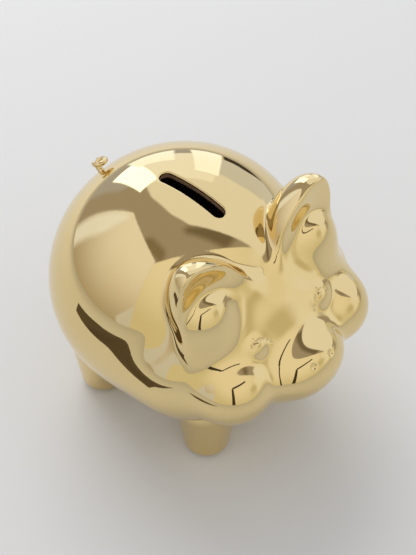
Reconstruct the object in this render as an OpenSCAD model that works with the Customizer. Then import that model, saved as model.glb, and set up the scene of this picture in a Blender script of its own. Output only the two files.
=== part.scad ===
// Gold-plated ceramic piggy bank.
// The pig looks along -Y, +Z is up, and its left side is +X.
// The origin is on the resting plane, under the middle of the bank.

/* [Body] */
// Width of the round body across the flanks
body_width = 140; // [134:1:146]
// Height and length of the round body
body_height = 132; // [128:1:136]
// Height of the middle of the body above the resting plane
body_centre_z = 88; // [86:1:92]
// Thickness of the cast wall
wall = 4.5; // [4:0.5:6]

/* [Head] */
// Width of the head across the jowls
head_width = 132; // [126:1:136]
// Height and length of the head
head_height = 84; // [80:1:88]
// Distance from the middle of the body forward to the middle of the head
head_forward = 43; // [40:1:46]
// Distance from the middle of the body down to the middle of the head
head_drop = 6; // [4:1:8]
// Angle that the head is turned to the pig's right
head_turn = 8; // [0:1:10]
// Diameter of one cheek
cheek_d = 43; // [40:1:46]
// Distance between the middles of the two cheeks
cheek_spacing = 71; // [66:1:74]
// Width of the muzzle behind the snout
muzzle_width = 51; // [47:1:55]
// Height of the muzzle
muzzle_height = 42; // [39:1:45]
// Width of the snout
snout_width = 39; // [35:1:43]
// Height of the snout
snout_height = 25; // [22:1:27]
// Diameter of one nostril
nostril_d = 3.4; // [2.5:0.1:4.5]
// Diameter of one eye
eye_d = 11; // [9:0.5:12]

/* [Ears] */
// Length of one ear from root to tip, with the part that meets the head
ear_length = 50; // [46:1:54]
// Width and depth of one ear
ear_width = 36; // [33:1:39]
// Distance from the middle of the ear to its flat front
ear_front = 2; // [1:0.5:4]

/* [Legs] */
// Distance between the left and the right legs
leg_spacing = 62; // [56:1:68]
// Distance between the front and the rear legs
leg_stride = 73; // [66:1:78]
// Diameter of a foot where its round edge starts
foot_d = 26; // [23:0.5:28]
// Diameter of a leg at its shoulder, under the belly
shoulder_d = 34; // [30:0.5:36]
// Radius of the round edge under a foot
foot_edge = 4.5; // [3:0.5:6]
// Diameter of one foot pad
pad_d = 15; // [12:0.5:16]
// Thickness of one foot pad
pad_t = 1.2; // [0.8:0.1:2]

/* [Coin slot] */
// Length of the coin slot
slot_length = 38; // [30:0.5:42]
// Width of the coin slot
slot_width = 7; // [5.5:0.5:8]

/* [Stopper] */
// Diameter of the hole under the belly
stopper_hole_d = 32; // [26:0.5:34]
// Clearance between the hole and the stopper, on the diameter
stopper_clearance = 0.4; // [0.3:0.1:0.8]
// Diameter of the stopper's flange
flange_d = 39; // [37:0.5:40]
// Thickness of the stopper's flange
flange_t = 2.6; // [2:0.1:3]

/* [Tail] */
// Mean diameter of the curled tail
tail_ring_d = 7.4; // [6:0.2:9]
// Thickness of the curled tail
tail_t = 3; // [2.4:0.2:3.6]

/* [Hidden] */
$fn = 96;
gold = "#d9b968";
rubber_grey = "#3a3a3c";
felt_brown = "#4b3c30";

// The head turns about an upright axis this far in front of the middle of the body
pivot_forward = 30;
muzzle_reach = 30.5;
snout_reach = 16;
// How far the turned snout reaches in front of its own middle
snout_front = norm([snout_width / 2 * sin(head_turn), snout_height / 2 * cos(head_turn)]);
snout_forward = head_forward + muzzle_reach + snout_reach - pivot_forward;
// The whole bank reaches as far in front of the origin as behind it
front_length = pivot_forward + snout_forward * cos(head_turn) + snout_front;
body_centre_y = (front_length - body_height / 2) / 2;
pivot_y = body_centre_y - pivot_forward;
head_y = body_centre_y - head_forward;
head_z = body_centre_z - head_drop;
cheek_y = head_y - 24;
cheek_z = head_z + 1.5;
muzzle_y = head_y - muzzle_reach;
muzzle_z = head_z - 2.5;
snout_y = muzzle_y - snout_reach;
snout_z = muzzle_z + 8;
nostril_spacing = 12;
nostril_rise = 8;
eye_spacing = 48;
eye_y = head_y - 28.2;
eye_z = head_z + 23.5;

ear_spacing = 69;
ear_y = head_y - 4.6;
ear_z = head_z + 50.4;
// Outward lean of the left ear
ear_lean = 25;

shoulder_z = 38;
front_leg_y = body_centre_y - 40;
rear_leg_y = front_leg_y + leg_stride;
left = 1;
right = -1;

slot_y = body_centre_y - 8;
slot_cut_z = 40;

// The belly is cut flat for the flange, and thickened inside round the hole
seat_z = body_centre_z - body_height / 2 + 3.5;
boss_t = 6;
boss_d = 46;
lip_t = 3.5;
stopper_skin = 3;
tab_d = 11;
tab_reach = 22;

tail_angle = 44;
tail_standoff = 4.5;
tail_root_d = 5;

// Surface of revolution about X with an elliptical outline
module spheroid(width, diameter) {
    steps = 40;
    outline = [for (i = [0:steps]) [diameter / 2 * sin(180 * i / steps), width / 2 * cos(180 * i / steps)]];
    rotate([0, 90, 0])
        rotate_extrude()
            polygon(outline);
}

// Turns its children with the head, to the pig's right
module turned() {
    translate([0, pivot_y, 0])
        rotate([0, 0, -head_turn])
            translate([0, -pivot_y, 0])
                children();
}

// The cast form without its openings; inset is the distance inside the outer skin
module cast_form(inset) {
    translate([0, body_centre_y, body_centre_z])
        spheroid(body_width - 2 * inset, body_height - 2 * inset);
    turned() {
        translate([0, head_y, head_z])
            spheroid(head_width - 2 * inset, head_height - 2 * inset);
        translate([0, muzzle_y, muzzle_z])
            spheroid(muzzle_width - 2 * inset, muzzle_height - 2 * inset);
        for (side = [left, right])
            translate([side * cheek_spacing / 2, cheek_y, cheek_z])
                sphere(d = cheek_d - 2 * inset);
    }
}

module slot_cutter() {
    end_offset = (slot_length - slot_width) / 2;
    translate([0, slot_y, body_centre_z + slot_cut_z])
        union() {
            translate([-slot_width / 2, -end_offset, 0])
                cube([slot_width, 2 * end_offset, slot_cut_z]);
            for (end = [-1, 1])
                translate([0, end * end_offset, 0])
                    cylinder(d = slot_width, h = slot_cut_z);
        }
}

module body_shell() {
    color(gold)
        difference() {
            union() {
                difference() {
                    cast_form(0);
                    cast_form(wall);
                }
                translate([0, body_centre_y, seat_z])
                    cylinder(d = boss_d, h = boss_t);
            }
            translate([0, body_centre_y, seat_z - boss_d])
                cylinder(d = 2 * boss_d, h = boss_d);
            translate([0, body_centre_y, seat_z - boss_t])
                cylinder(d = stopper_hole_d, h = 3 * boss_t);
            slot_cutter();
        }
}

module snout() {
    nostril_forward = snout_height / 2 * cos(asin(2 * nostril_rise / snout_height));
    color(gold)
        difference() {
            turned()
                translate([0, snout_y, snout_z])
                    spheroid(snout_width, snout_height);
            cast_form(0);
            turned()
                for (side = [left, right])
                    translate([side * nostril_spacing / 2, snout_y - nostril_forward, snout_z + nostril_rise])
                        sphere(d = nostril_d);
        }
}

module eye(side) {
    color(gold)
        difference() {
            turned()
                translate([side * eye_spacing / 2, eye_y, eye_z])
                    sphere(d = eye_d);
            cast_form(0);
        }
}

// The left ear; its own axes are width, depth and length
module left_ear_form() {
    translate([ear_spacing / 2, ear_y, ear_z])
        rotate([0, ear_lean, 0])
            difference() {
                rotate([0, 90, 0])
                    spheroid(ear_length, ear_width);
                translate([-ear_length, -ear_length - ear_front, -ear_length])
                    cube([2 * ear_length, ear_length, 2 * ear_length]);
            }
}

module ear(side) {
    color(gold)
        difference() {
            turned()
                mirror([side == right ? 1 : 0, 0, 0])
                    left_ear_form();
            cast_form(0);
        }
}

module tail() {
    surface_y = body_centre_y + body_height / 2 * cos(tail_angle);
    surface_z = body_centre_z + body_height / 2 * sin(tail_angle);
    color(gold)
        difference() {
            translate([0, surface_y, surface_z])
                rotate([tail_angle - 90, 0, 0])
                    union() {
                        translate([0, 0, tail_standoff])
                            rotate_extrude()
                                translate([tail_ring_d / 2, 0])
                                    circle(d = tail_t);
                        translate([0, -tail_ring_d / 2, -tail_standoff])
                            cylinder(d = tail_root_d, h = 2 * tail_standoff);
                    }
            cast_form(0);
        }
}

module leg(side, y) {
    foot_r = foot_d / 2;
    shoulder_r = shoulder_d / 2;
    shoulder_h = shoulder_z - pad_t;
    color(gold)
        difference() {
            translate([side * leg_spacing / 2, y, pad_t])
                rotate_extrude()
                    union() {
                        polygon([
                            [0, 0],
                            [foot_r - foot_edge, 0],
                            [foot_r - foot_edge, foot_edge],
                            [foot_r, foot_edge],
                            [shoulder_r, shoulder_h],
                            [0, shoulder_h]
                        ]);
                        intersection() {
                            translate([foot_r - foot_edge, foot_edge])
                                circle(r = foot_edge);
                            square([foot_r, foot_edge]);
                        }
                        intersection() {
                            translate([0, shoulder_h])
                                circle(r = shoulder_r);
                            translate([0, shoulder_h])
                                square(shoulder_r);
                        }
                    }
            cast_form(0);
        }
}

module pad(side, y) {
    color(felt_brown)
        translate([side * leg_spacing / 2, y, 0])
            cylinder(d = pad_d, h = pad_t);
}

module stopper() {
    neck_d = stopper_hole_d - stopper_clearance;
    color(rubber_grey)
        translate([0, body_centre_y, seat_z - flange_t])
            difference() {
                union() {
                    cylinder(d = flange_d, h = flange_t);
                    translate([0, tab_reach, 0])
                        cylinder(d = tab_d, h = flange_t);
                    translate([-tab_d / 2, 0, 0])
                        cube([tab_d, tab_reach, flange_t]);
                    cylinder(d = neck_d, h = flange_t + boss_t + lip_t);
                }
                translate([0, 0, flange_t])
                    cylinder(d = neck_d - 2 * stopper_skin, h = boss_t + 2 * lip_t);
            }
}

body_shell();
snout();
eye(left);  // left_eye
eye(right);  // right_eye
ear(left);  // left_ear
ear(right);  // right_ear
tail();
leg(left, front_leg_y);  // front_left_leg
leg(right, front_leg_y);  // front_right_leg
leg(left, rear_leg_y);  // rear_left_leg
leg(right, rear_leg_y);  // rear_right_leg
pad(left, front_leg_y);  // front_left_pad
pad(right, front_leg_y);  // front_right_pad
pad(left, rear_leg_y);  // rear_left_pad
pad(right, rear_leg_y);  // rear_right_pad
stopper();
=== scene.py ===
"""Gold-plated ceramic piggy bank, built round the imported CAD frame.

The glazed skin is one smooth distance field, in millimetres in the CAD frame. It is meshed once
and shared out between the pieces that the CAD names, so they meet edge to edge with no seam.
The pig looks along -Y and its left side is +X.
"""
import math

import bpy
import numpy as np
from mathutils import Matrix, Vector


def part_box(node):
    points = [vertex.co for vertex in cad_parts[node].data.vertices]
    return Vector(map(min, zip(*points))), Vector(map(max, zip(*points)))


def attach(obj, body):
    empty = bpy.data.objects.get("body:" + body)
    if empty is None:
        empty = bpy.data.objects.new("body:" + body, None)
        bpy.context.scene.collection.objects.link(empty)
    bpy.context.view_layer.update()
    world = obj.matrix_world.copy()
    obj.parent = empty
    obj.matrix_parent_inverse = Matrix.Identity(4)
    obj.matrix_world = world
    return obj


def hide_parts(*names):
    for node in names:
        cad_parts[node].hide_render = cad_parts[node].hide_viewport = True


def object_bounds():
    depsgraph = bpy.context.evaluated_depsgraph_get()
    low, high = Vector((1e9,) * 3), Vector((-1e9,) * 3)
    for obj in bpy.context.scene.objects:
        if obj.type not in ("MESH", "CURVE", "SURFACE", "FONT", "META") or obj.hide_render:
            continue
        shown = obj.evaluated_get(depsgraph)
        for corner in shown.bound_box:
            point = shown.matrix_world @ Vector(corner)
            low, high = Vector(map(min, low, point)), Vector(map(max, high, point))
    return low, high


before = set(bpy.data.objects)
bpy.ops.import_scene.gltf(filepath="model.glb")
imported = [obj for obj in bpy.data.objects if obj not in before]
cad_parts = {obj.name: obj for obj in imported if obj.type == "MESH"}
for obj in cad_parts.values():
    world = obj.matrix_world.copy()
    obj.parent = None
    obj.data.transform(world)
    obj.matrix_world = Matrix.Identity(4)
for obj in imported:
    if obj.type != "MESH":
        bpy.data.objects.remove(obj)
cad_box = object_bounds()

MM = 0.001
LEFT, RIGHT = 1, -1


def node_box(node):
    """Lowest and highest corner of a CAD node, in millimetres."""
    low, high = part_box(node)
    return np.array(low) / MM, np.array(high) / MM


# ---------------------------------------------------------------- driving dimensions, millimetres

flange_low, flange_high = node_box("stopper")
pad_low, pad_high = node_box("front_left_pad")
FLANGE_R, FLANGE_T = 19.5, 2.6
STOPPER_Y = flange_low[1] + FLANGE_R
SEAT_Z = flange_low[2] + FLANGE_T
BODY_Y = STOPPER_Y + 0.25


def ahead(x, forward, z):
    """A point so far in front of the middle of the body."""
    return np.array([x, BODY_Y - forward, z])


WALL = 4.5
BODY_CENTRE = ahead(0, 0, 87.9)
BODY_RADII = np.array([70.4, 66.6, 64.0])

# The head's own dimensions are for a head that looks straight ahead; it is then turned to its right
HEAD_TURN, HEAD_PIVOT = math.radians(-8.3), ahead(0, 30, 0)
HEAD_CENTRE = ahead(0, 43, 82)
HEAD_RADII = np.array([66.3, 39.5, 43.0])
CHEEK_CENTRE = ahead(35.5, 66, 83.5)
CHEEK_RADII = np.array([21.5, 22.8, 20.0])
MUZZLE_CENTRE = ahead(0, 74.5, 78.5)
MUZZLE_RADII = np.array([26.0, 18.8, 22.5])
BROW_CENTRE = ahead(36, 52, 113)
BROW_RADII = np.array([15.0, 12.5, 21.0])
SNOUT_CENTRE = ahead(0, 87.3, 84.2)
SNOUT_RADII = np.array([20.0, 12.2, 14.2])
NAPE_BLEND, FLANK_BLEND = 12, 34
NECK_TOP, NECK_HEIGHT = 118, 45
CHEEK_BLEND, MUZZLE_BLEND, BROW_BLEND, SNOUT_BLEND = 9, 14, 14, 16

NOSTRIL_CENTRE = ahead(6.2, 96.0, 96.0)
NOSTRIL_R, NOSTRIL_EDGE = 2.0, 1.2
EYE_CENTRE = ahead(22.2, 66.4, 100.9)
EYE_R, EYE_BLEND = 10, 3
LID_PATH = [
    ahead(27.2, 73.5, 106.2), ahead(25.3, 72.1, 108.7), ahead(22.5, 72.1, 109.3),
    ahead(19.7, 72.7, 108.7), ahead(16.9, 74.2, 106.8), ahead(14.8, 76.2, 104.4),
]
LID_R, LID_EDGE, LID_REACH = 0.55, 0.9, 16

EAR_CENTRE = ahead(34.5, 47.6, 132.4)
EAR_RADII = np.array([21.8, 17.5, 25.5])
EAR_TURNS = (0.02, 0.44, 0.01)
EAR_FRONT, EAR_ROOT_SLOPE, EAR_TIP_FLAT, EAR_LIP = 1.6, 0.1, 6, 3
EAR_POINT, EAR_TAPER, EAR_RIDGE_R = 4.5, 0.3, 2
EAR_DISH, EAR_DISH_RADII, EAR_DISH_RISE = 1.6, (15, 20), 2
EAR_BACK_BLEND, EAR_FRONT_BLEND = 4.5, 18
EAR_BLEND_START, EAR_BLEND_LENGTH = 4, 14

LEG_X, FRONT_LEG_Y, REAR_LEG_Y = 30.8, BODY_Y - 40.0, BODY_Y + 32.55
FOOT_R, LEG_TAPER, FOOT_EDGE_R = 12.3, 0.12, 4.0
SHOULDER_H, LEG_BLEND = 36.5, 3

SLOT_LENGTH, SLOT_WIDTH, SLOT_Y, SLOT_EDGE = 38, 7, BODY_Y - 8.25, 1.6

PAD_T, PAD_BOTTOM, PAD_SINK = pad_high[2], 0.09, 0.06
PAD_EDGE, PAD_FLUFF, PAD_STEP = 0.35, 0.05, 0.4
NECK_R, STOPPER_TOP = 15.8, flange_high[2]
STOPPER_SKIN, STOPPER_EDGE, NECK_SINK, NECK_EDGE, NECK_FILLET = 3, 0.9, 1, 0.8, 0.6
BORE_PAST_TOP, BORE_EDGE = 9, 1.5
TAB_R, TAB_REACH, TAB_FILLET = 5.5, 22, 1.5
RING_GROOVES, RING_GROOVE_R, RING_GROOVE_EDGE = (16.6, 11.0), 0.45, 0.5
GRIP_OFFSETS, GRIP_R = (-1.8, 0, 1.8), 0.4
THUMB_R, THUMB_DEPTH, THUMB_EDGE = 7.4, 1.0, 0.8
HOLE_R, HOLE_EDGE, BOSS_R, BOSS_T, BOSS_EDGE = 16, 0.6, 23, 6, 1.5
SHELL_EDGE, CLAY_AND_SHADE_DEPTH = 0.8, 1.3
LANDING_R, LANDING_RISE, LANDING_HALF_T = 21.5, 4, 6
LANDING_EDGE, LANDING_BLEND, SEAT_EDGE = 2, 5, 0.8

TAIL_ANGLE, TAIL_TILT = math.radians(44), math.radians(18)
TAIL_RING_R, TAIL_R, TAIL_STANDOFF = 3.3, 1.35, 3.9
TAIL_ROOT = (-2.5, 0.5, TAIL_STANDOFF - 0.7)
TAIL_BENDS, TAIL_BEND, TAIL_RISE = 10, 33, 0.12
TAIL_TAPER = ((0, 1.7), (0.12, 1.15), (0.7, 1), (1, 0.6))

# Grid steps of the meshes, and the skin's longest edges where it has detail
SKIN_STEP, FINE_STEP, TAIL_STEP = 1.4, 0.8, 0.45
FACE_DETAIL, FORM_DETAIL, RIM_DETAIL, NO_DETAIL = 0.45, 0.9, 0.5, 9.0
SLOT_RIM_DEPTH = 2.5


# ---------------------------------------------------------------- distance fields

def smooth_min(a, b, blend):
    h = np.maximum(blend - np.abs(a - b), 0) / blend
    return np.minimum(a, b) - h**3 * blend / 6


def smooth_max(a, b, blend):
    return -smooth_min(-a, -b, blend)


def eased(start, end, t):
    """From start to end as t goes from 0 to 1, gently at both ends."""
    t = np.clip(t, 0, 1)
    return start + (end - start) * t * t * (3 - 2 * t)


def rounded_edge(side, end, radius):
    """Distance to the form inside two faces that meet in a rounded edge."""
    side, end = side + radius, end + radius
    corner = np.hypot(np.maximum(side, 0), np.maximum(end, 0))
    return corner + np.minimum(np.maximum(side, end), 0) - radius


def ellipsoid(p, centre, radii):
    q = (p - centre) / radii
    near = np.sqrt((q * q).sum(1))
    q = q / radii
    far = np.sqrt((q * q).sum(1)) + 1e-9
    return near * (near - 1) / far


def tube(p, path, radii):
    """Distance to a tube through the path's points, with its own radius at each."""
    best = np.full(len(p), 1e3)
    for a, b, ra, rb in zip(path[:-1], path[1:], radii[:-1], radii[1:]):
        along = b - a
        t = np.clip((p - a) @ along / (along @ along), 0, 1)
        gap = np.linalg.norm(p - a - t[:, None] * along, axis=1) - ra - (rb - ra) * t
        best = np.minimum(best, gap)
    return best


def smooth_path(points, per_span=4):
    """Catmull-Rom curve through the points."""
    pts = np.array(points, float)
    pts = np.vstack([2 * pts[0] - pts[1], pts, 2 * pts[-1] - pts[-2]])
    out = []
    for a, b, c, d in zip(pts, pts[1:], pts[2:], pts[3:]):
        for t in np.arange(per_span) / per_span:
            out.append(0.5 * (2 * b + (c - a) * t + (2 * a - 5 * b + 4 * c - d) * t**2
                              + (3 * b - a - 3 * c + d) * t**3))
    return np.array(out + [pts[-2]])


def turns(x, y, z):
    """Rotation about X, then Y, then Z."""
    about_x, about_y, about_z = (Matrix.Rotation(t, 3, axis) for t, axis in zip((x, y, z), "XYZ"))
    return np.array(about_z @ about_y @ about_x)


head_axes = turns(0, 0, HEAD_TURN)
ear_axes = turns(*EAR_TURNS)


def both_sides(p):
    q = p.copy()
    q[:, 0] = np.abs(q[:, 0])
    return q


def in_head(p):
    """The points as they would lie if the head looked straight ahead."""
    return (p - HEAD_PIVOT) @ head_axes + HEAD_PIVOT


def neck_blend(p):
    """The head joins the body in a crease over the nape, and flows into the flanks lower down."""
    return eased(NAPE_BLEND, FLANK_BLEND, (NECK_TOP - p[:, 2]) / NECK_HEIGHT)


def cast_form(p):
    """The hollow casting: body, head, cheeks, muzzle and brow."""
    h = in_head(p)
    head = ellipsoid(h, HEAD_CENTRE, HEAD_RADII)
    head = smooth_min(head, ellipsoid(both_sides(h), CHEEK_CENTRE, CHEEK_RADII), CHEEK_BLEND)
    head = smooth_min(head, ellipsoid(h, MUZZLE_CENTRE, MUZZLE_RADII), MUZZLE_BLEND)
    head = smooth_min(head, ellipsoid(both_sides(h), BROW_CENTRE, BROW_RADII), BROW_BLEND)
    return smooth_min(ellipsoid(p, BODY_CENTRE, BODY_RADII), head, neck_blend(p))


def upright(p, centre, radius):
    """Distance to an upright cylinder with no ends."""
    return np.hypot(p[:, 0] - centre[0], p[:, 1] - centre[1]) - radius


def snout_form(p):
    return ellipsoid(in_head(p), SNOUT_CENTRE, SNOUT_RADII)


def eye_form(p):
    return np.linalg.norm(both_sides(in_head(p)) - EYE_CENTRE, axis=1) - EYE_R


def ear_form(p):
    """A pointed almond, narrower towards its tip, cut off by a dished front."""
    local = (both_sides(in_head(p)) - EAR_CENTRE) @ ear_axes
    across, up = local[:, 0] / EAR_DISH_RADII[0], (local[:, 2] - EAR_DISH_RISE) / EAR_DISH_RADII[1]
    dish = np.maximum(1 - across**2 - up**2, 0) ** 2
    taper = 1 + EAR_TAPER * np.clip(local[:, 2] / EAR_RADII[2], -1, 1)
    ridge = np.sqrt(local[:, 0] ** 2 + EAR_RIDGE_R**2) - EAR_RIDGE_R
    local[:, 0] = ridge * taper + EAR_POINT
    below_tip = np.maximum(EAR_RADII[2] - local[:, 2] - EAR_TIP_FLAT, 0)
    face = EAR_FRONT + EAR_ROOT_SLOPE * below_tip
    front = (-local[:, 1] - face + EAR_DISH * dish) / math.hypot(1, EAR_ROOT_SLOPE)
    return smooth_max(ellipsoid(local, 0, EAR_RADII), front, EAR_LIP)


def ear_blend(p):
    """The ear's front runs softly into the brow, and its back meets the head in a tight fillet."""
    forward = EAR_CENTRE[1] + EAR_BLEND_START - in_head(p)[:, 1]
    return eased(EAR_BACK_BLEND, EAR_FRONT_BLEND, forward / EAR_BLEND_LENGTH)


def leg_form(p, y):
    """A leg that widens upwards into a domed shoulder, on a rounded foot."""
    q = both_sides(p)
    height = q[:, 2] - PAD_T
    reach = np.hypot(upright(q, (LEG_X, y), 0), np.maximum(height - SHOULDER_H, 0))
    radial = reach - FOOT_R - LEG_TAPER * np.clip(height, 0, SHOULDER_H)
    return rounded_edge(radial, -height, FOOT_EDGE_R)


def front_leg_form(p):
    return leg_form(p, FRONT_LEG_Y)


def rear_leg_form(p):
    return leg_form(p, REAR_LEG_Y)


lid_path = smooth_path(LID_PATH)
lid_radii = LID_R * np.sin(np.linspace(0.5, math.pi - 0.25, len(lid_path)))


def pressed_details(f, q):
    """Nostrils and the lines over the closed eyes, pressed into the skin near them."""
    f = smooth_max(f, NOSTRIL_R - np.linalg.norm(q - NOSTRIL_CENTRE, axis=1), NOSTRIL_EDGE)
    near = np.where(np.linalg.norm(q - EYE_CENTRE, axis=1) < LID_REACH)[0]
    f[near] = smooth_max(f[near], -tube(q[near], lid_path, lid_radii), LID_EDGE)
    return f


def skin(p):
    """The whole gold skin: legs, ears, snout and face, and a flat landing for the stopper."""
    f = cast_form(p)
    landing_height = np.abs(p[:, 2] - SEAT_Z - LANDING_RISE) - LANDING_HALF_T
    landing = smooth_max(upright(p, (0, STOPPER_Y), LANDING_R), landing_height, LANDING_EDGE)
    f = smooth_max(smooth_min(f, landing, LANDING_BLEND), SEAT_Z - p[:, 2], SEAT_EDGE)
    f = smooth_min(f, snout_form(p), SNOUT_BLEND)
    f = smooth_min(f, eye_form(p), EYE_BLEND)
    f = smooth_min(f, ear_form(p), ear_blend(p))
    f = smooth_min(f, front_leg_form(p), LEG_BLEND)
    f = smooth_min(f, rear_leg_form(p), LEG_BLEND)
    return pressed_details(f, both_sides(in_head(p)))


def slot_form(p):
    end = (SLOT_LENGTH - SLOT_WIDTH) / 2
    across = np.hypot(p[:, 0], np.maximum(np.abs(p[:, 1] - SLOT_Y) - end, 0)) - SLOT_WIDTH / 2
    return np.maximum(across, BODY_CENTRE[2] - p[:, 2])


def shell(p):
    """The skin, hollowed, with its coin slot and stopper hole."""
    boss = np.maximum(upright(p, (0, STOPPER_Y), BOSS_R), p[:, 2] - SEAT_Z - BOSS_T)
    hollow = smooth_max(cast_form(p) + WALL, -boss, BOSS_EDGE)
    f = smooth_max(skin(p), -hollow, SHELL_EDGE)
    f = smooth_max(f, -slot_form(p), SLOT_EDGE)
    hole = np.maximum(upright(p, (0, STOPPER_Y), HOLE_R), p[:, 2] - BODY_CENTRE[2])
    return smooth_max(f, -hole, HOLE_EDGE)


rump_out = np.array([0, math.cos(TAIL_ANGLE), math.sin(TAIL_ANGLE)])
rump_up = np.array([0, -math.sin(TAIL_ANGLE), math.cos(TAIL_ANGLE)])
rump_side = np.array([1.0, 0, 0])
rump = BODY_CENTRE + BODY_RADII * rump_out
ring_out = np.array([0, math.cos(TAIL_ANGLE + TAIL_TILT), math.sin(TAIL_ANGLE + TAIL_TILT)])
ring_up = np.array([0, -ring_out[2], ring_out[1]])
tail_points = [rump - TAIL_RING_R * rump_up + d * rump_out for d in TAIL_ROOT]
for bend in range(1, TAIL_BENDS + 1):
    turn = math.radians(-90 + TAIL_BEND * bend)
    ring = TAIL_RING_R * (math.cos(turn) * rump_side + math.sin(turn) * ring_up)
    tail_points.append(rump + ring + (TAIL_STANDOFF * rump_out + TAIL_RISE * bend * ring_out))
tail_path = smooth_path(tail_points, 3)
tail_radii = TAIL_R * np.interp(np.linspace(0, 1, len(tail_path)), *zip(*TAIL_TAPER))


def tail(p):
    return tube(p, tail_path, tail_radii)


def rounded_disc(p, centre, radius, low, high, edge):
    end = np.abs(p[:, 2] - (low + high) / 2) - (high - low) / 2
    return rounded_edge(upright(p, centre, radius), end, edge)


def stopper(p):
    """Hollow rubber plug: a flange with a pull tab and moulded rings below, and a lipped neck."""
    low = SEAT_Z - FLANGE_T
    centre, tab_centre = (0, STOPPER_Y), (0, STOPPER_Y + TAB_REACH)
    flange = rounded_disc(p, centre, FLANGE_R, low, SEAT_Z, STOPPER_EDGE)
    tab = rounded_disc(p, tab_centre, TAB_R, low, SEAT_Z, STOPPER_EDGE)
    along = np.abs(p[:, 1] - STOPPER_Y - TAB_REACH / 2) - TAB_REACH / 2
    side = np.maximum(np.abs(p[:, 0]) - TAB_R, along - STOPPER_EDGE)
    end = np.abs(p[:, 2] - (low + SEAT_Z) / 2) - FLANGE_T / 2
    strap = rounded_edge(side, end, STOPPER_EDGE)
    neck = rounded_disc(p, centre, NECK_R, low + NECK_SINK, STOPPER_TOP, NECK_EDGE)
    f = smooth_min(smooth_min(flange, np.minimum(tab, strap), TAB_FILLET), neck, NECK_FILLET)
    bore_top = STOPPER_TOP + BORE_PAST_TOP
    bore = rounded_disc(p, centre, NECK_R - STOPPER_SKIN, SEAT_Z, bore_top, BORE_EDGE)
    f = smooth_max(f, -bore, NECK_EDGE)
    radial = upright(p, centre, 0)
    for ring_r in RING_GROOVES:
        groove = np.hypot(radial - ring_r, p[:, 2] - low) - RING_GROOVE_R
        f = smooth_max(f, -groove, RING_GROOVE_EDGE)
    thumb_centre = [0, STOPPER_Y, low + THUMB_DEPTH - THUMB_R]
    thumb = np.linalg.norm(p - thumb_centre, axis=1) - THUMB_R
    f = smooth_max(f, -thumb, THUMB_EDGE)
    grip = [np.hypot(p[:, 1] - tab_centre[1] - dy, p[:, 2] - low) - GRIP_R for dy in GRIP_OFFSETS]
    return smooth_max(f, -np.minimum.reduce(grip), GRIP_R)


def pad_field(x, y):
    """A felt disc with a slightly uneven, hairy edge."""
    radius = (pad_high[0] - pad_low[0]) / 2 - 0.15

    def field(p):
        fluff = np.sin(7.3 * p[:, 0] + 2.1 * p[:, 1]) * np.sin(6.1 * p[:, 1] - 3.3 * p[:, 0] + x)
        fluff += 0.5 * np.sin(15.7 * p[:, 0] + 9.2 * p[:, 2] + y) * np.sin(13.9 * p[:, 1])
        return rounded_disc(p, (x, y), radius, PAD_BOTTOM, PAD_T + PAD_SINK, PAD_EDGE) + PAD_FLUFF * fluff

    return field


# ---------------------------------------------------------------- meshing

def evaluate(field, points):
    blocks = np.array_split(points, max(1, len(points) // 200000))
    return np.concatenate([field(block) for block in blocks])


def gradient(field, points, reach=0.02):
    out = np.empty_like(points)
    for axis in range(3):
        shift = np.zeros(3)
        shift[axis] = reach
        rise = evaluate(field, points + shift) - evaluate(field, points - shift)
        out[:, axis] = rise / (2 * reach)
    return out


def onto(field, points, rounds=4, limit=0.6):
    """The points, moved onto the surface where the field is zero."""
    for _ in range(rounds):
        slope = gradient(field, points)
        move = (evaluate(field, points) / np.maximum((slope**2).sum(1), 0.05))[:, None] * slope
        length = np.linalg.norm(move, axis=1, keepdims=True)
        points = points - move * np.minimum(1, limit / np.maximum(length, 1e-9))
    return points


def triangle_edges(tris):
    """Each triangle's three edges, as numbers into the sorted list of all edges, which comes second."""
    ends = np.sort(tris[:, [[0, 1], [1, 2], [2, 0]]].reshape(-1, 2), axis=1)
    edges, number = np.unique(ends, axis=0, return_inverse=True)
    return number.reshape(-1, 3), edges


def relaxed(field, points, tris, rounds=2):
    """Vertices drawn half way to their neighbours' middle and put back on the surface."""
    _, edges = triangle_edges(tris)
    ends = np.concatenate([edges, edges[:, ::-1]])
    valence = np.bincount(ends[:, 0], minlength=len(points))[:, None]
    for _ in range(rounds):
        near = points[ends[:, 1]]
        middle = np.stack([np.bincount(ends[:, 0], near[:, k], len(points)) for k in range(3)], 1)
        points = onto(field, (points + middle / valence) / 2, 2)
    return points


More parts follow.
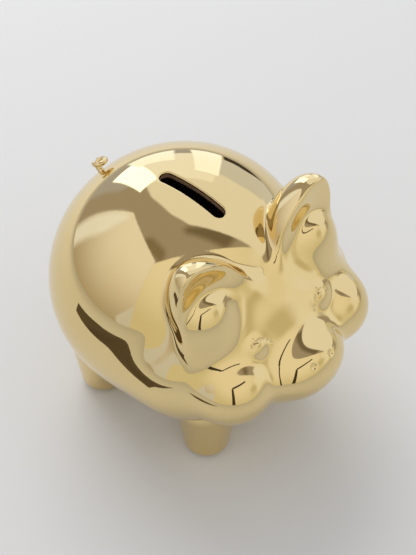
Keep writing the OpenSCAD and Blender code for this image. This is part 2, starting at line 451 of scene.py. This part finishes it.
def surface_net(field, low, high, step):
    """Closed triangle mesh of the surface where the field is zero: one vertex in each cell it crosses."""
    axes = [np.arange(low[k], high[k] + step, step) for k in range(3)]
    grid = np.stack(np.meshgrid(*axes, indexing="ij"), -1)
    values = evaluate(field, grid.reshape(-1, 3)).reshape(grid.shape[:3])
    cells = np.array(values.shape) - 1
    crossings, quads = [], []
    for axis in range(3):
        first = np.take(values, range(cells[axis]), axis)
        last = np.take(values, range(1, cells[axis] + 1), axis)
        edge = np.argwhere((first < 0) != (last < 0))
        a, b = first[tuple(edge.T)], last[tuple(edge.T)]
        point = edge.astype(float)
        point[:, axis] += a / (a - b)
        u, v = np.zeros(3, int), np.zeros(3, int)
        u[(axis + 1) % 3] = 1
        v[(axis + 2) % 3] = 1
        around = np.stack([edge, edge - u, edge - u - v, edge - v], 1)
        number = np.ravel_multi_index(tuple(np.moveaxis(around, -1, 0)), cells)
        crossings.append((number, point))
        quads.append(np.where((a < 0)[:, None], number, number[:, ::-1]))
    number = np.concatenate([n.ravel() for n, _ in crossings])
    point = np.concatenate([np.repeat(q, 4, axis=0) for _, q in crossings])
    used, index = np.unique(number, return_inverse=True)
    count = np.bincount(index)[:, None]
    points = np.stack([np.bincount(index, point[:, k]) for k in range(3)], 1) / count
    points = np.array(low) + points * step
    quad = np.searchsorted(used, np.concatenate(quads))
    one = np.linalg.norm(points[quad[:, 0]] - points[quad[:, 2]], axis=1)
    other = np.linalg.norm(points[quad[:, 1]] - points[quad[:, 3]], axis=1)
    short = (one <= other)[:, None]
    tris = np.concatenate([
        np.where(short, quad[:, [0, 1, 2]], quad[:, [0, 1, 3]]),
        np.where(short, quad[:, [0, 2, 3]], quad[:, [1, 2, 3]]),
    ])
    points = onto(field, points, 3, step)
    return relaxed(field, points, tris), tris


def refined(field, points, tris, target):
    """Edges longer than the local target are halved, and the new vertices put on the surface."""
    number, edges = triangle_edges(tris)
    middle = points[edges].mean(1)
    length = np.linalg.norm(points[edges[:, 0]] - points[edges[:, 1]], axis=1)
    cut = length > 1.4 * target(middle)
    fresh = np.full(len(edges), -1)
    fresh[cut] = len(points) + np.arange(cut.sum())
    points = np.concatenate([points, onto(field, middle[cut], 3)])
    mids = fresh[number]
    split = mids >= 0
    count = split.sum(1)
    out = [tris[count == 0]]
    three = count == 3
    (a, b, c), (m, n, o) = tris[three].T, mids[three].T
    out += [np.stack(t, 1) for t in ((a, m, o), (m, b, n), (o, n, c), (m, n, o))]
    for first in range(3):
        order = [first, (first + 1) % 3, (first + 2) % 3]
        one = (count == 1) & split[:, first]
        (a, b, c), m = tris[one][:, order].T, mids[one, first]
        out += [np.stack(t, 1) for t in ((a, m, c), (m, b, c))]
        two = (count == 2) & ~split[:, order[2]]
        (a, b, c), (m, n, _) = tris[two][:, order].T, mids[two][:, order].T
        out += [np.stack(t, 1) for t in ((m, b, n), (a, m, n), (a, n, c))]
    return points, np.concatenate(out)


# ---------------------------------------------------------------- sharing the skin out

CAP_DEPTH = 1.6
CAP_RINGS = (0.06, 0.15, 0.3, 0.5, 0.72)


def share_of(form, side):
    """Field below zero on the part of the skin that belongs to an attached form on that side."""

    def field(p):
        cast = cast_form(p)
        own = np.maximum(form(p) - cast, -CAP_DEPTH - cast)
        return np.maximum(own, -side * p[:, 0]) if side else own

    return field


def onto_seam(share, points):
    """The points, moved onto the line where the shell's surface meets the edge of a share."""
    for _ in range(8):
        slope = gradient(shell, points)
        slope /= np.linalg.norm(slope, axis=1, keepdims=True)
        points = points - slope * evaluate(shell, points)[:, None]
        turn = gradient(share, points)
        turn -= slope * (turn * slope).sum(1)[:, None]
        move = turn * (evaluate(share, points) / np.maximum((turn**2).sum(1), 0.02))[:, None]
        length = np.linalg.norm(move, axis=1, keepdims=True)
        points = points - move * np.minimum(1, 0.5 / np.maximum(length, 1e-9))
    return points


def cut_along(share, points, tris):
    """Triangles split along the edge of a share: the points, the share's triangles and the others."""
    value = evaluate(share, points)
    number, edges = triangle_edges(tris)
    length = np.linalg.norm(points[edges[:, 0]] - points[edges[:, 1]], axis=1)
    crossed = edges[(value[edges[:, 0]] < 0) != (value[edges[:, 1]] < 0)]
    near = np.unique(crossed)
    local = np.full(len(points), np.inf)
    np.minimum.at(local, edges.ravel(), np.repeat(length, 2))
    snap = near[np.abs(value[near]) < 0.3 * local[near]]
    points = points.copy()
    points[snap] = onto_seam(share, points[snap])
    value[snap] = 0
    side = np.sign(value)
    ends = side[edges]
    cut = ends[:, 0] * ends[:, 1] < 0
    a, b = edges[cut].T
    t = (value[a] / (value[a] - value[b]))[:, None]
    fresh = np.full(len(edges), -1)
    fresh[cut] = len(points) + np.arange(cut.sum())
    points = np.concatenate([points, onto_seam(share, points[a] * (1 - t) + points[b] * t)])
    mids = fresh[number]
    mixed = (mids >= 0).any(1)
    inner, outer = [], []
    signs = side[tris]
    whole = tris[~mixed]
    own = signs[~mixed].sum(1) < 0
    flat = (signs[~mixed] == 0).all(1)
    own[flat] = evaluate(share, points[whole[flat]].mean(1)) < 0
    for tri, mid, sign in zip(tris[mixed], mids[mixed], signs[mixed]):
        for first in range(3):
            order = [first, (first + 1) % 3, (first + 2) % 3]
            (a, b, c), (m, _, o), (sa, sb, sc) = tri[order], mid[order], sign[order]
            if m >= 0 and o >= 0:
                alone, rest = (inner, outer) if sa < 0 else (outer, inner)
                alone.append((a, m, o))
                rest += [(m, b, c), (m, c, o)]
            elif m >= 0 and sc == 0:
                (inner if sa < 0 else outer).append((a, m, c))
                (inner if sb < 0 else outer).append((m, b, c))
    inner = np.concatenate([whole[own], np.array(inner, int).reshape(-1, 3)])
    outer = np.concatenate([whole[~own], np.array(outer, int).reshape(-1, 3)])
    return points, inner, outer


def open_loop(tris):
    """The patch's open edge, as one ring of vertices."""
    step = {}
    directed = {(a, b) for a, b in tris[:, [[0, 1], [1, 2], [2, 0]]].reshape(-1, 2).tolist()}
    for a, b in directed:
        if (b, a) not in directed:
            step[a] = b
    start = min(step)
    loop = [start]
    while step[loop[-1]] != start:
        loop.append(step[loop[-1]])
    if len(loop) != len(step):
        raise ValueError("a share of the skin has more than one open edge")
    return loop


def hidden_cap(points, loop):
    """Rings of new vertices under the skin close a loop: the points, and triangles that face inwards."""
    rim = points[loop]
    middle = rim.mean(0)
    rings, tris, last = [], [], list(loop)
    for share in CAP_RINGS + (1,):
        ring = rim + (middle - rim) * share
        depth = -CAP_DEPTH * min(1, share / CAP_RINGS[1])
        level = (1 - min(1, share / CAP_RINGS[1])) * evaluate(cast_form, rim)
        if share == 1:
            ring = ring[:1]
            level = level[:1] * 0
        target = depth + level
        for _ in range(4):
            slope = gradient(cast_form, ring)
            ring = ring - slope * ((cast_form(ring) - target) / (slope**2).sum(1))[:, None]
        start = len(points) + sum(len(r) for r in rings)
        rings.append(ring)
        for k, here in enumerate(last):
            after = last[(k + 1) % len(last)]
            if share == 1:
                tris.append((after, here, start))
            else:
                under, next_under = start + k, start + (k + 1) % len(last)
                tris += [(after, here, under), (after, under, next_under)]
        last = [start + k for k in range(len(ring))]
    return np.concatenate([points, *rings]), np.array(tris)


# ---------------------------------------------------------------- materials

def new_material(name):
    material = bpy.data.materials.new(name)
    material.use_nodes = True
    tree = material.node_tree
    return material, tree, tree.nodes["Principled BSDF"]


def noise(tree, scale, detail=3.0, roughness=0.5):
    place = tree.nodes.new("ShaderNodeTexCoord")
    node = tree.nodes.new("ShaderNodeTexNoise")
    node.inputs["Scale"].default_value = scale
    node.inputs["Detail"].default_value = detail
    node.inputs["Roughness"].default_value = roughness
    tree.links.new(place.outputs["Object"], node.inputs["Vector"])
    return node.outputs["Fac"]


def ramp(tree, factor, stops):
    """Colour ramp of (position, colour) stops; a number stands for a grey."""
    node = tree.nodes.new("ShaderNodeValToRGB")
    elements = node.color_ramp.elements
    while len(elements) < len(stops):
        elements.new(0.5)
    for element, (position, colour) in zip(elements, stops):
        element.position = position
        colour = colour if isinstance(colour, tuple) else (colour,) * 3
        element.color = (*colour, 1)
    tree.links.new(factor, node.inputs["Fac"])
    return node.outputs["Color"]


def bump(tree, shader, height, distance):
    node = tree.nodes.new("ShaderNodeBump")
    node.inputs["Strength"].default_value = 1.0
    node.inputs["Distance"].default_value = distance
    tree.links.new(height, node.inputs["Height"])
    tree.links.new(node.outputs["Normal"], shader.inputs["Normal"])


def gold_plating():
    """Thin mirror gold over glaze: slightly uneven in tone and gloss, with the glaze's faint ripple."""
    material, tree, shader = new_material("mirror_gold")
    shader.inputs["Metallic"].default_value = 1.0
    tone = ramp(tree, noise(tree, 22, 2), [(0.3, (0.80, 0.625, 0.305)), (0.7, (0.82, 0.655, 0.335))])
    gloss = ramp(tree, noise(tree, 60, 4, 0.6), [(0.35, 0.022), (0.75, 0.06)])
    tree.links.new(tone, shader.inputs["Base Color"])
    tree.links.new(gloss, shader.inputs["Roughness"])
    bump(tree, shader, noise(tree, 230, 1.5), 0.00001)
    return material


def clay_with_painted_shade():
    """Unglazed inside of the casting. Its dark brown is also painted shade on the coin slot's walls."""
    material, tree, shader = new_material("clay_with_painted_shade")
    tone = ramp(tree, noise(tree, 140, 5, 0.6), [(0.3, (0.22, 0.13, 0.07)), (0.7, (0.34, 0.22, 0.12))])
    tree.links.new(tone, shader.inputs["Base Color"])
    shader.inputs["Roughness"].default_value = 0.75
    bump(tree, shader, noise(tree, 900, 4), 0.0002)
    return material


def dark_rubber():
    material, tree, shader = new_material("dark_rubber")
    tone = ramp(tree, noise(tree, 90, 4), [(0.3, (0.035, 0.035, 0.038)), (0.7, (0.06, 0.06, 0.064))])
    gloss = ramp(tree, noise(tree, 400, 3), [(0.3, 0.5), (0.7, 0.68)])
    tree.links.new(tone, shader.inputs["Base Color"])
    tree.links.new(gloss, shader.inputs["Roughness"])
    bump(tree, shader, noise(tree, 2500, 2), 0.00003)
    return material


def brown_felt():
    material, tree, shader = new_material("brown_felt")
    tone = ramp(tree, noise(tree, 1600, 6, 0.7), [(0.3, (0.07, 0.045, 0.03)), (0.7, (0.17, 0.12, 0.085))])
    tree.links.new(tone, shader.inputs["Base Color"])
    shader.inputs["Roughness"].default_value = 0.95
    shader.inputs["Sheen Weight"].default_value = 0.4
    bump(tree, shader, noise(tree, 4000, 5, 0.7), 0.0003)
    return material


gold, clay_and_shade, rubber, felt = gold_plating(), clay_with_painted_shade(), dark_rubber(), brown_felt()


# ---------------------------------------------------------------- pieces

def piece(name, field, points, tris, node, body, materials, second=None):
    """A smooth closed piece from millimetre points; second marks the triangles of the second material."""
    used, number = np.unique(tris, return_inverse=True)
    tris = number.reshape(-1, 3)
    points = points[used]
    mesh = bpy.data.meshes.new(name)
    mesh.from_pydata((points * MM).tolist(), [], tris.tolist())
    for material in materials:
        mesh.materials.append(material)
    if second is not None:
        mesh.polygons.foreach_set("material_index", second.astype(np.int32))
    mesh.polygons.foreach_set("use_smooth", np.ones(len(tris), bool))
    normals = gradient(field, points)
    normals /= np.maximum(np.linalg.norm(normals, axis=1, keepdims=True), 1e-9)
    mesh.normals_split_custom_set_from_vertices(normals.tolist())
    mesh.update()
    made = bpy.data.objects.new(name, mesh)
    bpy.context.scene.collection.objects.link(made)
    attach(made, body)
    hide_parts(node)
    return made


def detail_size(p):
    """Target edge length of the skin's mesh near each point."""
    q = both_sides(in_head(p))
    size = np.full(len(p), NO_DETAIL)
    for centre, reach, target in (
        (EYE_CENTRE, 9, FACE_DETAIL), (NOSTRIL_CENTRE, 5, FACE_DETAIL),
        (EAR_CENTRE, 34, FORM_DETAIL), (SNOUT_CENTRE, 24, FORM_DETAIL),
    ):
        size = np.where(np.linalg.norm(q - centre, axis=1) < reach, np.minimum(size, target), size)
    slot_rim = (np.abs(slot_form(p)) < SLOT_EDGE) & (cast_form(p) > -SLOT_RIM_DEPTH)
    return np.where(slot_rim, np.minimum(size, RIM_DETAIL), size)


def whole_skin():
    margin = 2 * SKIN_STEP
    low, high = (np.array(corner) / MM for corner in cad_box)
    points, tris = surface_net(shell, low - margin, high + margin, SKIN_STEP)
    for _ in range(2):
        points, tris = refined(shell, points, tris, detail_size)
    return relaxed(shell, points, tris, 1), tris


ATTACHED = (
    ("snout", snout_form, 0),
    ("left_eye", eye_form, LEFT), ("right_eye", eye_form, RIGHT),
    ("left_ear", ear_form, LEFT), ("right_ear", ear_form, RIGHT),
    ("front_left_leg", front_leg_form, LEFT), ("front_right_leg", front_leg_form, RIGHT),
    ("rear_left_leg", rear_leg_form, LEFT), ("rear_right_leg", rear_leg_form, RIGHT),
)
points, rest = whole_skin()
body_tris = []
for name, form, side in ATTACHED:
    share = share_of(form, side)
    points, own, rest = cut_along(share, points, rest)
    points, cap = hidden_cap(points, open_loop(own))
    own = np.concatenate([own, cap])
    piece(f"{name}_skin", shell, points, own, name, "bank", [gold])
    body_tris.append(cap[:, ::-1])
# Faces well inside the wall take the dark clay: bare clay inside the hollow, and painted shade on the
# slot's walls.
inside = evaluate(cast_form, points[rest].mean(1)) < -CLAY_AND_SHADE_DEPTH
caps = np.concatenate(body_tris)
piece(
    "body_skin", shell, points, np.concatenate([rest, caps]), "body_shell", "bank",
    [gold, clay_and_shade], np.concatenate([inside, np.zeros(len(caps), bool)]),
)

points, tris = surface_net(tail, tail_path.min(0) - 3, tail_path.max(0) + 3, TAIL_STEP)
piece("curled_tail", tail, points, tris, "tail", "bank", [gold])

points, tris = surface_net(stopper, flange_low - 2, flange_high + 2, FINE_STEP)
piece("rubber_stopper", stopper, points, tris, "stopper", "stopper", [rubber])

for end, y in (("front", FRONT_LEG_Y), ("rear", REAR_LEG_Y)):
    for word, side in (("left", LEFT), ("right", RIGHT)):
        node = f"{end}_{word}_pad"
        low, high = node_box(node)
        centre = (low + high) / 2
        field = pad_field(centre[0], centre[1])
        points, tris = surface_net(field, low - 1, high + 1, PAD_STEP)
        piece(f"{end}_{word}_felt", field, points, tris, node, "bank", [felt])


# ---------------------------------------------------------------- camera

VIEW_AZIMUTH, VIEW_ELEVATION = math.radians(-53.18), math.radians(49.91)
VIEW_POINT = ahead(-345.48, 276.59, 606.31)
LENS, SENSOR = 84.8854, 36

view_back = Vector((
    math.sin(VIEW_AZIMUTH) * math.cos(VIEW_ELEVATION),
    -math.cos(VIEW_AZIMUTH) * math.cos(VIEW_ELEVATION),
    math.sin(VIEW_ELEVATION),
))
view_right = Vector((math.cos(VIEW_AZIMUTH), math.sin(VIEW_AZIMUTH), 0))
view_up = view_back.cross(view_right)
camera = bpy.data.objects.new("camera", bpy.data.cameras.new("camera"))
camera.data.sensor_width = SENSOR
camera.data.lens = LENS
camera.data.clip_start, camera.data.clip_end = 0.01, 50
camera.matrix_world = Matrix.Translation(Vector(VIEW_POINT * MM)) @ Matrix(
    (view_right, view_up, view_back)
).transposed().to_4x4()
bpy.context.scene.collection.objects.link(camera)
bpy.context.scene.camera = camera


# ---------------------------------------------------------------- studio

# What the panels' colours are multiplied by, so that they look right in the gold
PANEL_GAIN = (1.13, 1.24, 1.54)
EVEN_FILL = (0.62, 0.62, 0.625)
LAMP_WAY, LAMP_SIZE, LAMP_DISTANCE, LAMP_POWER = (150, 48), 1.1, 1.5, 9
FLOOR_REACH, SHADE_SHEET_HEIGHT = 4000, 0.5


def direction(azimuth, elevation):
    """Unit vector; azimuth in degrees from the pig's nose (-Y) towards its left (+X)."""
    a, e = math.radians(azimuth), math.radians(elevation)
    return Vector((math.sin(a) * math.cos(e), -math.cos(a) * math.cos(e), math.sin(e)))


class Sky:
    """The studio that the gold mirrors: flat panels of light and shade painted on the world."""

    def __init__(self, colour):
        world = bpy.data.worlds.new("studio")
        bpy.context.scene.world = world
        world.use_nodes = True
        self.tree = world.node_tree
        self.look = self.tree.nodes.new("ShaderNodeTexCoord").outputs["Generated"]
        self.colour = self.tree.nodes.new("ShaderNodeRGB").outputs["Color"]
        self.colour.default_value = (*colour, 1)

    def math(self, operation, a, b):
        node = self.tree.nodes.new("ShaderNodeMath")
        node.operation = operation
        for socket, value in zip(node.inputs, (a, b)):
            if isinstance(value, (int, float)):
                socket.default_value = value
            else:
                self.tree.links.new(value, socket)
        return node.outputs["Value"]

    def along(self, vector):
        node = self.tree.nodes.new("ShaderNodeVectorMath")
        node.operation = "DOT_PRODUCT"
        self.tree.links.new(self.look, node.inputs[0])
        node.inputs[1].default_value = vector
        return node.outputs["Value"]

    def side(self, normal, soft):
        """1 on the side that the normal points to, 0 on the other, with an edge this many degrees wide."""
        node = self.tree.nodes.new("ShaderNodeMapRange")
        node.interpolation_type = "SMOOTHSTEP"
        half = math.radians(soft) / 2
        node.inputs["From Min"].default_value, node.inputs["From Max"].default_value = -half, half
        self.tree.links.new(self.along(normal), node.inputs["Value"])
        return node.outputs["Result"]

    def panel(self, corners, colour, soft=1.5, far_colour=None, across=None, opacity=1.0):
        """A convex panel between corner directions; far_colour is reached towards the direction across."""
        ways = [direction(*corner) for corner in corners]
        middle = sum(ways, Vector()).normalized()
        mask = opacity
        for a, b in zip(ways, ways[1:] + ways[:1]):
            normal = a.cross(b).normalized()
            if normal.dot(middle) < 0:
                normal = -normal
            mask = self.math("MULTIPLY", self.side(normal, soft), mask)
        blend = self.tree.nodes.new("ShaderNodeMix")
        blend.data_type = "RGBA"
        self.tree.links.new(mask, blend.inputs["Factor"])
        self.tree.links.new(self.colour, blend.inputs["A"])
        if far_colour:
            low, high, way = across
            node = self.tree.nodes.new("ShaderNodeMapRange")
            node.interpolation_type = "SMOOTHSTEP"
            node.inputs["From Min"].default_value, node.inputs["From Max"].default_value = low, high
            self.tree.links.new(self.along(way), node.inputs["Value"])
            inner = self.tree.nodes.new("ShaderNodeMix")
            inner.data_type = "RGBA"
            self.tree.links.new(node.outputs["Result"], inner.inputs["Factor"])
            inner.inputs["A"].default_value = (*colour, 1)
            inner.inputs["B"].default_value = (*far_colour, 1)
            self.tree.links.new(inner.outputs["Result"], blend.inputs["B"])
        else:
            blend.inputs["B"].default_value = (*colour, 1)
        self.colour = blend.outputs["Result"]

    def finish(self, fill):
        """The panels are seen in reflections; everything else is lit by an even, neutral fill."""
        light = self.tree.nodes.new("ShaderNodeMix")
        light.data_type = "RGBA"
        path = self.tree.nodes.new("ShaderNodeLightPath")
        self.tree.links.new(path.outputs["Is Glossy Ray"], light.inputs["Factor"])
        light.inputs["A"].default_value = (*fill, 1)
        gain = self.tree.nodes.new("ShaderNodeVectorMath")
        gain.operation = "MULTIPLY"
        self.tree.links.new(self.colour, gain.inputs[0])
        gain.inputs[1].default_value = PANEL_GAIN
        self.tree.links.new(gain.outputs["Vector"], light.inputs["B"])
        self.tree.links.new(light.outputs["Result"], self.tree.nodes["Background"].inputs["Color"])


sky = Sky((0.35, 0.29, 0.22))
# Shade towards the horizon of the dim ceiling
sky.panel([(-135, 60), (-75, 60), (-75, 71), (-135, 71)], (0.22, 0.17, 0.10), 7)
sky.panel([(15, 84), (22, 48), (46, 40), (60, 84)], (0.17, 0.13, 0.075), 8)
# Pale walls, warmer low down
sky.panel([(-179, -40), (-179, 50.5), (-87, 60.5), (-87, -40)], (0.37, 0.29, 0.18), 1.5,
          (0.82, 0.74, 0.65), (-0.3, 0.9, direction(0, 90)))
sky.panel([(-178, -14), (-178, 46), (-172, 50), (-161, 30), (-168, -6)], (0.86, 0.85, 0.86), 7,
          opacity=0.85)
sky.panel([(-101, 3), (-84, 24), (-71, 34), (-71, -30), (-90, -30)], (0.62, 0.60, 0.58), 2.5, opacity=0.8)
sky.panel([(-87.5, -40), (-87.5, 58.7), (30, 41.6), (48, 5), (48, -40)], (0.64, 0.55, 0.35), 1.5,
          (0.82, 0.72, 0.54), (0.3, 0.95, direction(-20, 65)))
sky.panel([(18, 4), (23, 29), (49, 29), (54, 4)], (0.80, 0.73, 0.58), 9)
sky.panel([(47, -40), (50, 5), (52, 40), (110, 30), (125, 35), (125, -40)], (0.60, 0.52, 0.34), 4,
          (0.64, 0.60, 0.48), (-0.1, 0.5, direction(0, 90)))
sky.panel([(124, -40), (124, 35), (165, 25), (172, -40)], (0.40, 0.37, 0.36), 5)
sky.panel([(2, 12), (4, 26), (24, 26), (24, 12)], (0.50, 0.41, 0.22), 12, opacity=0.7)
# A dark seam where two walls and the ceiling meet
sky.panel([(-52, -62), (-49, 44), (-43, 44), (-42, -62)], (0.05, 0.035, 0.02), 0.8)
sky.panel([(-48, 42), (-46, 47), (8, 48), (8, 45)], (0.05, 0.035, 0.02), 0.8)
# Pale ceiling panel
sky.panel([(37, 14), (36, 36), (40, 56), (46, 77), (146, 75), (157, 52), (150, 24), (110, 10), (70, 8)],
          (0.80, 0.74, 0.64), 2.5)
# The wall beside the windows, the windows, and the dark furniture below
sky.panel([(80, 14), (84, -26), (104, -36), (112, -10), (110, 26), (92, 24)], (0.62, 0.60, 0.58), 3)
sky.panel([(103, 38), (150, 38), (148, 5), (112, 5)], (0.92, 0.88, 0.80), 2)
sky.panel([(104, 29), (119, 30), (133, -38), (128, -40)], (1.1, 1.12, 1.1), 1)
sky.panel([(143, 36), (160, 41), (159, 8), (146, 3)], (1.6, 1.6, 1.6), 1)
sky.panel([(131, 16), (147, 12), (148, -14), (134, -40), (130, -40)], (1.1, 1.12, 1.1), 1.5)
sky.panel([(93, -3), (101, 3), (112, 4), (116, -8), (122, -22), (117, -25), (103, -19)],
          (0.05, 0.035, 0.025), 1)
sky.finish(EVEN_FILL)


def stage_sheet(name, corners, material, height=0.0):
    mesh = bpy.data.meshes.new(name)
    mesh.from_pydata([(x * MM, y * MM, height * MM) for x, y in corners], [], [tuple(range(len(corners)))])
    mesh.materials.append(material)
    made = bpy.data.objects.new(name, mesh)
    bpy.context.scene.collection.objects.link(made)
    return made


def pale_floor():
    material, tree, shader = new_material("pale_floor")
    tone = ramp(tree, noise(tree, 1.5, 2), [(0.3, (0.80, 0.80, 0.80)), (0.7, (0.83, 0.83, 0.832))])
    tree.links.new(tone, shader.inputs["Base Color"])
    shader.inputs["Roughness"].default_value = 0.9
    shader.inputs["Specular IOR Level"].default_value = 0.1
    return material


# Painted shade: a dark sheet that only the gold's reflections show.
def shade_sheet_material():
    material, tree, shader = new_material("shade_sheet")
    tone = ramp(tree, noise(tree, 9, 3), [(0.3, (0.07, 0.045, 0.02)), (0.7, (0.10, 0.07, 0.04))])
    tree.links.new(tone, shader.inputs["Base Color"])
    shader.inputs["Roughness"].default_value = 0.8
    return material


floor_corners = [(x * FLOOR_REACH, y * FLOOR_REACH) for x, y in ((-1, -1), (1, -1), (1, 1), (-1, 1))]
stage_sheet("floor", floor_corners, pale_floor())

# A dark sheet just above the floor, behind the pig's right side: painted shade for the gold to mirror. The
# camera doesn't see the sheet, but from behind the pig it does see the black shadow under it.
shade_sheet_outline = [(-240, 230), (-224, 30), (-300, 20), (-490, -135), (-450, 60), (-440, 210), (-360, 350)]
shade_sheet = stage_sheet("shade_sheet", shade_sheet_outline, shade_sheet_material(), SHADE_SHEET_HEIGHT)
shade_sheet.visible_camera = False

lamp = bpy.data.objects.new("soft_box", bpy.data.lights.new("soft_box", "AREA"))
lamp.data.size = LAMP_SIZE
lamp.data.energy = LAMP_POWER
lamp_way = direction(*LAMP_WAY)
lamp.location = lamp_way * LAMP_DISTANCE
lamp.rotation_euler = lamp_way.to_track_quat("Z", "Y").to_euler()
lamp.visible_camera = False
lamp.visible_glossy = False
bpy.context.scene.collection.objects.link(lamp)

bpy.context.scene.view_settings.view_transform = "Standard"
